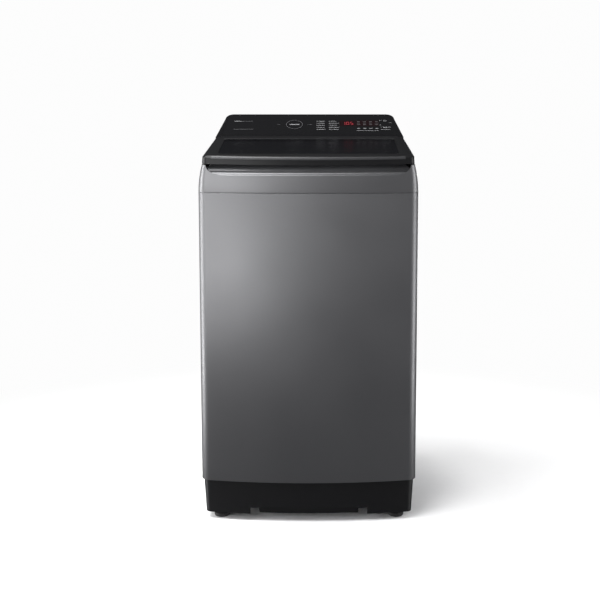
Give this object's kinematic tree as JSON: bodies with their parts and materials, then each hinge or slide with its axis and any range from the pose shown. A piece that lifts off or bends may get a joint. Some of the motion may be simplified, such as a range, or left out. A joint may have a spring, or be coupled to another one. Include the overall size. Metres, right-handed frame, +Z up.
{
  "type": "top load washing machine",
  "caption": "Free-standing top load washing machine with a bowed grey cabinet, black glass lid, raised rear console and a hung tub with basket and pulsator.",
  "frame": {"origin": "on the floor under the middle of the overall box", "axes": "+Z up, the front with the bowed panel faces -Y, +X to the right seen from the front"},
  "size_m": [0.54, 0.568, 1.005],
  "materials": {
    "grey_paint": "satin metallic grey",
    "grey_plastic": "satin metallic grey",
    "base_plastic": "fine grained black",
    "gloss_black": "high gloss black",
    "smoked_glass": "dark tinted tempered glass",
    "display_window": "dark tinted window",
    "light_plastic": "satin light grey",
    "white_plastic": "satin white",
    "stainless_steel": "brushed",
    "zinc_sheet": "galvanised",
    "cast_aluminium": "as cast",
    "foot_rubber": "matt",
    "circuit_board": "lacquered board"
  },
  "bodies": {
    "cabinet": {"cabinet_wrap": "grey_paint", "rear_panel": "zinc_sheet", "base_frame": "base_plastic", "bottom_cover": "base_plastic", "top_cover": "grey_plastic", "console_housing": "gloss_black", "console_panel": "gloss_black", "display_lens": "display_window", "control_board": "circuit_board", "lid_lock_housing": "base_plastic", "detergent_housing": "white_plastic", "water_inlet_valve": "white_plastic", "drain_spigot": "base_plastic", "cord_gland": "foot_rubber", "suspension_rod_front_left": "zinc_sheet", "suspension_rod_front_right": "zinc_sheet", "suspension_rod_rear_left": "zinc_sheet", "suspension_rod_rear_right": "zinc_sheet"},
    "lid": {"lid_frame": "gloss_black", "lid_glass": "smoked_glass", "lid_inner_frame": "light_plastic", "lid_lock_striker": "light_plastic", "lid_bumper_left": "foot_rubber", "lid_bumper_right": "foot_rubber", "hinge_pin_left": "zinc_sheet", "hinge_pin_right": "zinc_sheet"},
    "tub": {"outer_tub": "white_plastic", "tub_cover": "white_plastic", "support_plate": "zinc_sheet", "gearbox_housing": "cast_aluminium", "motor_housing": "cast_aluminium", "drive_belt": "foot_rubber", "drain_valve": "base_plastic", "damper_cup_front_left": "base_plastic", "damper_cup_front_right": "base_plastic", "damper_cup_rear_left": "base_plastic", "damper_cup_rear_right": "base_plastic"},
    "basket": {"wash_basket": "stainless_steel", "balance_ring": "light_plastic", "basket_base": "light_plastic", "spin_shaft": "stainless_steel", "lint_filter": "white_plastic"},
    "pulsator": {"pulsator": "light_plastic", "pulsator_shaft": "stainless_steel", "pulsator_cap": "light_plastic"},
    "driven_pulley": {"driven_pulley": "cast_aluminium"},
    "motor_pulley": {"motor_pulley": "cast_aluminium"},
    "detergent_drawer": {"detergent_drawer": "white_plastic"},
    "lid_lock_pin": {"lid_lock_pin": "light_plastic"},
    "program_key": {"program_key": "gloss_black"},
    "option_key_1": {"option_key_1": "gloss_black"},
    "option_key_2": {"option_key_2": "gloss_black"},
    "option_key_3": {"option_key_3": "gloss_black"},
    "option_key_4": {"option_key_4": "gloss_black"},
    "power_key": {"power_key": "gloss_black"},
    "start_key": {"start_key": "gloss_black"},
    "foot_front_left": {"levelling_foot_front_left": "foot_rubber"},
    "foot_front_right": {"levelling_foot_front_right": "foot_rubber"},
    "foot_rear_left": {"levelling_foot_rear_left": "foot_rubber"},
    "foot_rear_right": {"levelling_foot_rear_right": "foot_rubber"}
  },
  "joints": [
    {"name": "lid_hinge", "type": "hinge", "parent": "cabinet", "child": "lid", "pos_m": [0, 0.166, 0.94142], "axis": [-1, 0, 0], "range_deg": [0, 80]},
    {"name": "tub_bounce", "type": "slide", "parent": "cabinet", "child": "tub", "axis": [0, 0, -1], "range_m": [0, 0.03], "stiffness_N_per_m": 14000, "springref_m": -0.035},
    {"name": "basket_spin", "type": "hinge", "parent": "tub", "child": "basket", "pos_m": [0, 0.006, 0.3], "axis": [0, 0, 1], "continuous": true},
    {"name": "pulsator_spin", "type": "hinge", "parent": "basket", "child": "pulsator", "pos_m": [0, 0.006, 0.3], "axis": [0, 0, 1], "continuous": true},
    {"name": "driven_pulley_spin", "type": "hinge", "parent": "tub", "child": "driven_pulley", "pos_m": [0, 0.006, 0.093], "axis": [0, 0, 1], "continuous": true},
    {"name": "motor_spin", "type": "hinge", "parent": "tub", "child": "motor_pulley", "pos_m": [0.135, 0.006, 0.093], "axis": [0, 0, 1], "continuous": true},
    {"name": "drawer_slide", "type": "slide", "parent": "cabinet", "child": "detergent_drawer", "axis": [0, -1, 0], "range_m": [0, 0.08]},
    {"name": "lid_lock_slide", "type": "slide", "parent": "cabinet", "child": "lid_lock_pin", "axis": [0, 0, 1], "range_m": [0, 0.006], "stiffness_N_per_m": 60, "springref_m": -0.003},
    {"name": "program_key_press", "type": "slide", "parent": "cabinet", "child": "program_key", "axis": [0, 0.4894, -0.8721], "range_m": [0, 0.0008], "stiffness_N_per_m": 600, "springref_m": -0.0008},
    {"name": "option_key_1_press", "type": "slide", "parent": "cabinet", "child": "option_key_1", "axis": [0, 0.4894, -0.8721], "range_m": [0, 0.0008], "stiffness_N_per_m": 300, "springref_m": -0.0008},
    {"name": "option_key_2_press", "type": "slide", "parent": "cabinet", "child": "option_key_2", "axis": [0, 0.4894, -0.8721], "range_m": [0, 0.0008], "stiffness_N_per_m": 300, "springref_m": -0.0008},
    {"name": "option_key_3_press", "type": "slide", "parent": "cabinet", "child": "option_key_3", "axis": [0, 0.4894, -0.8721], "range_m": [0, 0.0008], "stiffness_N_per_m": 300, "springref_m": -0.0008},
    {"name": "option_key_4_press", "type": "slide", "parent": "cabinet", "child": "option_key_4", "axis": [0, 0.4894, -0.8721], "range_m": [0, 0.0008], "stiffness_N_per_m": 300, "springref_m": -0.0008},
    {"name": "power_key_press", "type": "slide", "parent": "cabinet", "child": "power_key", "axis": [0, 0.4894, -0.8721], "range_m": [0, 0.0008], "stiffness_N_per_m": 300, "springref_m": -0.0008},
    {"name": "start_key_press", "type": "slide", "parent": "cabinet", "child": "start_key", "axis": [0, 0.4894, -0.8721], "range_m": [0, 0.0008], "stiffness_N_per_m": 300, "springref_m": -0.0008},
    {"name": "foot_front_left_screw", "type": "slide", "parent": "cabinet", "child": "foot_front_left", "axis": [0, 0, -1], "range_m": [0, 0.012]},
    {"name": "foot_front_right_screw", "type": "slide", "parent": "cabinet", "child": "foot_front_right", "axis": [0, 0, -1], "range_m": [0, 0.012]},
    {"name": "foot_rear_left_screw", "type": "slide", "parent": "cabinet", "child": "foot_rear_left", "axis": [0, 0, -1], "range_m": [0, 0.012]},
    {"name": "foot_rear_right_screw", "type": "slide", "parent": "cabinet", "child": "foot_rear_right", "axis": [0, 0, -1], "range_m": [0, 0.012]}
  ],
  "couplings": [
    {"joint": "motor_spin", "follows": "driven_pulley_spin", "ratio": 5},
    {"joint": "pulsator_spin", "follows": "driven_pulley_spin", "ratio": 0.2}
  ]
}
